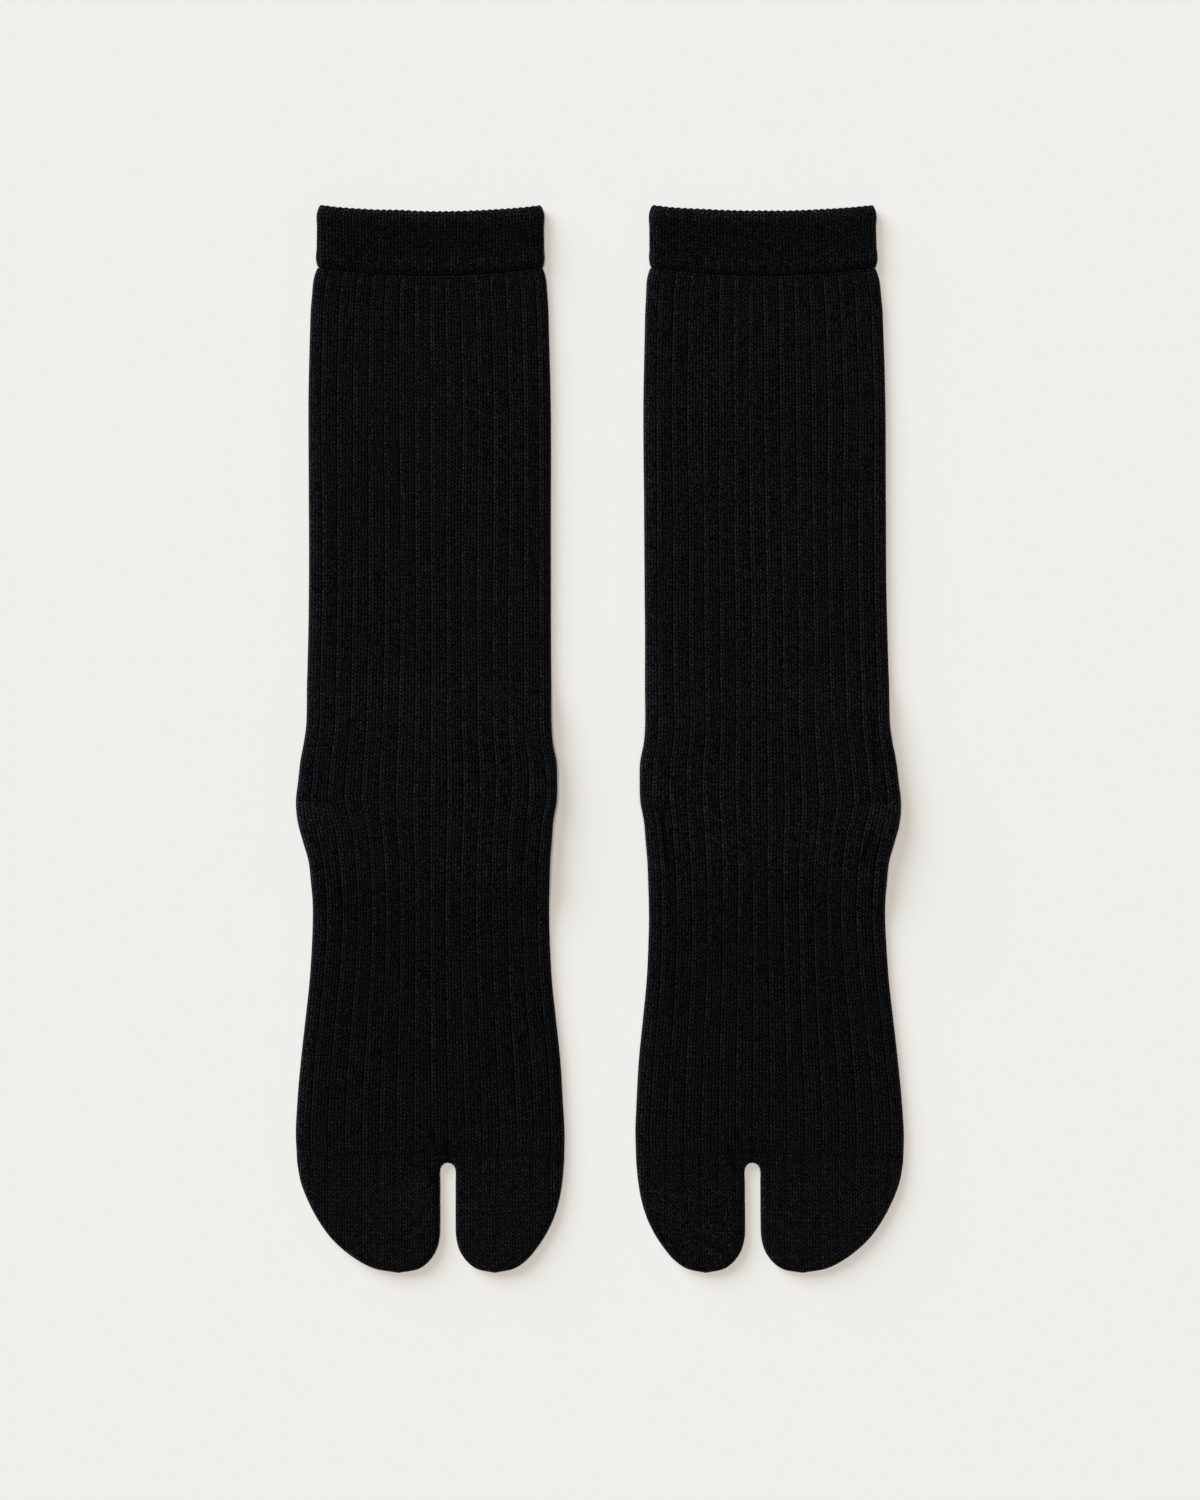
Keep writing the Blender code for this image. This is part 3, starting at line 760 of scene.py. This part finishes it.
def buildHeel(name, sock):
    # A section carried down the pocket: over the top, down the layered edge, back underneath and
    # up the other edge. The rows crowd towards both ends, by a cosine.
    spread = np.linspace(0.0, 1.0, pocket["rows"] + 1)
    downs = pocketRows[0, 0] + np.ptp(pocketRows[:, 0]) * (0.5 - 0.5 * np.cos(math.pi * spread))
    share = smoothRead(pocketRows[:, 0], pocketRows[:, 1], downs)
    thickness = np.clip(smoothRead(pocketRows[:, 0], pocketRows[:, 2], downs), 0.0, 1.0)[:, None]
    inner = (tubeAt("inner", downs) * share)[:, None]
    outer = (-tubeAt("outer", downs) * share)[:, None]
    level = np.linspace(0.0, 1.0, pocket["columns"] + 1)
    still = np.zeros_like(level)
    inset, layer = pocketEdge.T
    flat = np.concatenate([level, np.ones_like(layer), level[::-1], np.zeros_like(layer)])
    out = np.concatenate([still, pocket["edge"] - inset, still, inset[::-1] - pocket["edge"]])
    height = np.concatenate([still + 1.0, layer, still, layer[::-1]])
    across = outer + pocket["edge"] + (inner - outer - 2 * pocket["edge"]) * flat + out
    z = np.maximum(pocket["thick"] * (0.5 + (height - 0.5) * thickness), body["rest"])
    down = np.repeat(downs[:, None], len(flat), axis=1)
    points = placed(sock, across, down, z).reshape(-1, 3)
    faces = ringQuads(np.arange(across.size).reshape(across.shape)).reshape(-1, 4)
    later = np.where(height < 0.5, pocket["underWales"], 0.0)
    wale = across / pocket["wale"] + later
    waleNext = np.roll(across, -1, axis=1) / pocket["wale"] + later
    course = down / pocket["course"]
    uvs = charted((wale[:-1], course[:-1]), (wale[1:], course[1:]),
                  (waleNext[1:], course[1:]), (waleNext[:-1], course[:-1]))
    marks = {"shade": np.zeros(len(points)), "calm": np.zeros(len(points))}
    made = meshFrom(name + "_heel_knit", sock, points, [faces], [uvs], marks)
    weld(made)
    return made


# Materials.
class Shade:
    # A socket of one material. + - * / on it, with numbers or other sockets, add Math nodes.
    def __init__(self, tree, socket):
        self.tree, self.socket = tree, socket

    def node(self, kind, settings=(), inputs=(), output=0):
        # Any node: its type, its settings, the values or links of its sockets, and which
        # output comes back.
        made = self.tree.nodes.new(kind)
        for key, value in dict(settings).items():
            setattr(made, key, value)
        for key, value in dict(inputs).items():
            if isinstance(value, Shade):
                self.tree.links.new(value.socket, made.inputs[key])
            else:
                made.inputs[key].default_value = value
        return Shade(self.tree, made.outputs[output] if made.outputs else None)

    def maths(self, operation, *values):
        return self.node("ShaderNodeMath", {"operation": operation}, dict(enumerate(values)))

    def __add__(self, other):
        return self.maths("ADD", self, other)

    def __radd__(self, other):
        return self.maths("ADD", other, self)

    def __sub__(self, other):
        return self.maths("SUBTRACT", self, other)

    def __rsub__(self, other):
        return self.maths("SUBTRACT", other, self)

    def __mul__(self, other):
        return self.maths("MULTIPLY", self, other)

    def __rmul__(self, other):
        return self.maths("MULTIPLY", other, self)

    def __truediv__(self, other):
        return self.maths("DIVIDE", self, other)

    def ease(self, low, high):
        # 0 below low, 1 above high, a smooth step between; low may be the larger
        return self.node("ShaderNodeMapRange", {"interpolation_type": "SMOOTHSTEP"},
                         {"Value": self, "From Min": low, "From Max": high})


knit = {
    "colour": (0.0052, 0.0052, 0.0065),     # black yarn, a little blue
    "warmColour": (0.0054, 0.0054, 0.0058),     # where its dye is duller
    "roughness": 0.95,
    "specular": 0.04,
    "sheen": 0.04,
    "sheenRoughness": 0.3,
    "slant": 1.0,           # a stitch's legs rise this many courses from its middle to its side
    "wander": 0.5,          # how far, in courses, they stray
    "between": 0.15,        # how much of a strand's height and painted highlight is left between courses
    "relief": 0.45,         # stitches, in millimetres
    "fibreRelief": 0.35,    # the share of it that fibres add
    "gap": 0.95,            # painted shade between the strands
    "strand": 2.8,          # painted highlight on a strand
    "fibre": 7.0,           # how much single fibres vary
    "lump": 0.7,            # how much the yarn varies
    "raised": 0.8,          # painted highlight on a rib's raised wale
    "raisedMean": 0.28,     # the share of the rib that it takes, so that the mean stays
    "groove": 0.6,          # painted shade in its groove
    "weakened": 0.4,        # ribs' marks weaken by this share down the foot
    "seam": 0.22,           # how much darker the course is where the toes' plain knit starts
    "seamSharp": 1.4,
    "stretched": 0.17,      # the foot is stretched thinner, so it looks darker, but less so
    "relaxed": 0.13,        # at the toes
    "fold": 1.2,            # how strongly the shade attribute's painted highlights and shade lighten or darken
    "darkest": {"fold": 0.12, "fibre": 0.1, "lump": 0.2},   # no darker than this share
    # from and to, in distances from the cuff's top: the ribs' marks weaken, the knit turns
    # plain by plainMost, the foot's stretch starts, and at the toes it eases
    "weak": (290.0, 375.0),
    "plain": (360.0, 405.0),
    "plainMost": 0.75,
    "foot": (262.0, 300.0),
    "toes": (372.0, 395.0),
    # across a rib, as shares of it: its groove, and where its raised wale starts and ends
    "grooveHalf": (0.0, 0.085),
    "raisedStart": (0.02, 0.09),
    "raisedEnd": (0.24, 0.36),
    "calmed": (0.0, 0.3),   # a swelling this strong hides the ribs' marks
    "patches": (0.3, 0.6),  # the drape noise lets them show where it is above this
    "warmer": (0.45, 0.62),     # the blotch noise changes the colour where it is above this
    # noises: how fine, how many octaves, how rough
    "fibreNoise": (1400.0, 1.0, 0.5),
    "lumpNoise": (420.0, 1.0, 0.6),
    "blotchNoise": (150.0, 2.0, 0.6),
    "drapeNoise": (90.0, 2.0, 0.6),
    "drapeStretch": (2.4, 0.7, 1.0),
}


def noise(at, place, size):
    scale, octaves, rough = size
    return at.node("ShaderNodeTexNoise", {"noise_dimensions": "3D"},
                   {"Vector": place, "Scale": scale, "Detail": octaves, "Roughness": rough})


def knitMaterial(name, ribbed, depth, grain):
    # A stitch is a V of two slanted strands that meet in the middle of its wale. A strand's height
    # is a cosine of the course, shifted by the distance from the wale's middle, times a sine arch
    # across each half of the wale. The colour follows that height: painted shade between the strands
    # and a painted highlight on them. In a rib, smooth steps across its three wales paint a
    # highlight on the raised one and shade in the groove.
    made = bpy.data.materials.new(name)
    made.use_nodes = True
    tree = made.node_tree
    tree.nodes.clear()
    at = Shade(tree, None)
    uv = at.node("ShaderNodeUVMap", {"uv_map": "knit"})
    wale = at.node("ShaderNodeSeparateXYZ", (), {0: uv}, 0)
    course = at.node("ShaderNodeSeparateXYZ", (), {0: uv}, 1)
    leg = at.maths("ABSOLUTE", at.maths("FRACT", wale) - 0.5) * 2.0
    place = at.node("ShaderNodeTexCoord", (), (), 3)
    fibre = noise(at, place, knit["fibreNoise"])
    lump = noise(at, place, knit["lumpNoise"])
    blotch = noise(at, place, knit["blotchNoise"])
    stretched = at.node("ShaderNodeMapping", (), {"Vector": place, "Scale": knit["drapeStretch"]})
    drape = noise(at, stretched, knit["drapeNoise"])
    along = course + leg * knit["slant"] + (lump - 0.5) * knit["wander"]
    strand = at.maths("COSINE", along * (2 * math.pi)) * 0.5 + 0.5
    arch = at.maths("MAXIMUM", at.maths("SINE", leg * math.pi), 0.0)
    stitch = arch * (strand * (1 - knit["between"]) + knit["between"])
    # the shade attribute: painted highlights and shade of the edges, creases, slot and seam
    fold = at.node("ShaderNodeAttribute", {"attribute_name": "shade"}, (), 2)
    # painted shade between the strands and a painted highlight on them
    light = (1 - knit["gap"]) + stitch * (knit["gap"] * knit["strand"])
    if ribbed:
        weak, toPlain, foot, toes = (course.ease(*map(courseAt, knit[key]))
                                     for key in ("weak", "plain", "foot", "toes"))
        plain = toPlain * knit["plainMost"]
        grain = 1 + plain * grain
        strength = (1 - weak * knit["weakened"]) * drape.ease(*knit["patches"])
        rib = at.maths("FRACT", wale / body["wales"]) * (body["wales"] / body["ribWales"])
        groove = 1 - at.maths("MINIMUM", rib, 1 - rib).ease(*knit["grooveHalf"])
        raised = rib.ease(*knit["raisedStart"]) * (1 - rib.ease(*knit["raisedEnd"]))
        calm = at.node("ShaderNodeAttribute", {"attribute_name": "calm"}, (), 2)
        calm = 1 - calm.ease(*knit["calmed"])
        # painted highlight on the raised wale and painted shade in the groove
        marks = (raised - knit["raisedMean"]) * knit["raised"] * strength - groove * knit["groove"]
        light = light * (1 + marks * calm * (1 - plain))
        line = (course - courseAt(body["plainFrom"])) * knit["seamSharp"]
        light = light * (1 - at.maths("EXPONENT", line * line * -1.0) * knit["seam"])
        light = light * (1 - foot * knit["stretched"] + toes * knit["relaxed"])
    darkest = knit["darkest"]
    light = light * at.maths("MAXIMUM", 1 + fold * knit["fold"], darkest["fold"])
    light = light * at.maths("MAXIMUM", 1 + (fibre - 0.5) * knit["fibre"], darkest["fibre"])
    uneven = 1 + (lump - 0.5) * (grain * knit["lump"])
    light = light * at.maths("MAXIMUM", uneven, darkest["lump"]) * depth
    hue = at.node("ShaderNodeMix", {"data_type": "RGBA"},
                  {0: blotch.ease(*knit["warmer"]), 6: knit["colour"] + (1.0,),
                   7: knit["warmColour"] + (1.0,)}, 2)
    grey = at.node("ShaderNodeCombineColor", (), {0: light, 1: light, 2: light})
    colour = at.node("ShaderNodeMix", {"data_type": "RGBA", "blend_type": "MULTIPLY"},
                     {0: 1.0, 6: hue, 7: grey}, 2)
    height = stitch + (fibre - 0.5) * knit["fibreRelief"]
    bump = at.node("ShaderNodeBump", (), {"Strength": 1.0, "Distance": knit["relief"] * mm,
                                          "Height": height})
    surface = at.node("ShaderNodeBsdfPrincipled", (), {
        "Base Color": colour, "Roughness": knit["roughness"],
        "Specular IOR Level": knit["specular"], "Sheen Weight": knit["sheen"],
        "Sheen Roughness": knit["sheenRoughness"], "Normal": bump})
    at.node("ShaderNodeOutputMaterial", (), {"Surface": surface})
    return made


print("knit materials")
ribKnit = knitMaterial("rib_knit", True, 0.99, 2.4)
cuffKnit = knitMaterial("cuff_knit", False, 0.77, 2.6)
heelKnit = knitMaterial("heel_knit", False, 1.0, 1.0)

for sockName, sock in pair["socks"].items():
    print("knitting", sockName)
    made = {
        "body": (buildBody(sockName, sock), ribKnit, (0.198, 0.402)),
        "cuff": (buildCuff(sockName, sock), cuffKnit, (0.187, 0.0248)),
        "heel": (buildHeel(sockName, sock), heelKnit, (0.100, 0.056)),
    }
    for part, (piece, material, flat) in made.items():
        piece.data.materials.append(material)
        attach(piece, "root")
        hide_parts(sockName + "_" + part)
        part.replace("body", "rib") + "_knit"
        triangles = sum(len(p.vertices) - 2 for p in piece.data.polygons)
        print("  ", piece.name, triangles, "triangles")

# Floor, light and camera.
studio = {
    "floorColour": (0.905, 0.895, 0.86),
    "floorRoughness": 0.9,
    "floorSpecular": 0.1,
    "floorSize": 60.0,
    "viewHeight": 1.417,        # camera above the surface
    "lens": 85.0,
    "centreY": -0.0043,         # middle of the view
    # each light: towards it, how wide it looks in degrees, how strong, and its colour
    "side": ((-0.63, 0.63, 0.45), 44.0, 2.5, (0.90, 1.0, 1.115)),
    "top": ((-0.05, 0.05, 1.0), 20.0, 1.71, (1.065, 1.0, 0.93)),
    "worldColour": (1.0, 1.0, 0.98),
    "worldStrength": 0.06,
    "backdrop": 0.8,            # how bright the studio looks beyond the floor
}


def placeLight(name, towards, width, power, colour):
    # a broad soft light, far away, so that the floor is evenly lit
    lamp = bpy.data.lights.new(name, "SUN")
    lamp.angle, lamp.energy = math.radians(width), power
    lamp.color = colour
    made = bpy.data.objects.new(name, lamp)
    made.location = towards
    made.rotation_euler = Vector(towards).to_track_quat("Z", "Y").to_euler()
    bpy.context.scene.collection.objects.link(made)
    return made


print("floor, light and camera")
floorMesh = bpy.data.meshes.new("floor")
reach = studio["floorSize"] / 2
floorMesh.from_pydata([(-reach, -reach, 0), (reach, -reach, 0), (reach, reach, 0),
                       (-reach, reach, 0)], [], [(0, 1, 2, 3)])
floor = bpy.data.objects.new("floor", floorMesh)
bpy.context.scene.collection.objects.link(floor)
paper = bpy.data.materials.new("paper")
paper.use_nodes = True
paperShader = paper.node_tree.nodes["Principled BSDF"]
paperShader.inputs["Base Color"].default_value = studio["floorColour"] + (1.0,)
paperShader.inputs["Roughness"].default_value = studio["floorRoughness"]
paperShader.inputs["Specular IOR Level"].default_value = studio["floorSpecular"]
floorMesh.materials.append(paper)

placeLight("side", *studio["side"])
placeLight("top", *studio["top"])
world = bpy.data.worlds.new("studio")
world.use_nodes = True
sky = world.node_tree.nodes["Background"]
sky.inputs["Color"].default_value = studio["worldColour"] + (1.0,)
seen = Shade(world.node_tree, None).node("ShaderNodeLightPath", (), (), "Is Camera Ray")
glow = seen * (studio["backdrop"] - studio["worldStrength"]) + studio["worldStrength"]
world.node_tree.links.new(glow.socket, sky.inputs["Strength"])
bpy.context.scene.world = world
bpy.context.scene.view_settings.view_transform = "Standard"

lens = bpy.data.cameras.new("camera")
lens.lens, lens.sensor_width = studio["lens"], 36.0
camera = bpy.data.objects.new("camera", lens)
camera.location = (0.0, studio["centreY"], studio["viewHeight"])
bpy.context.scene.collection.objects.link(camera)
bpy.context.scene.camera = camera
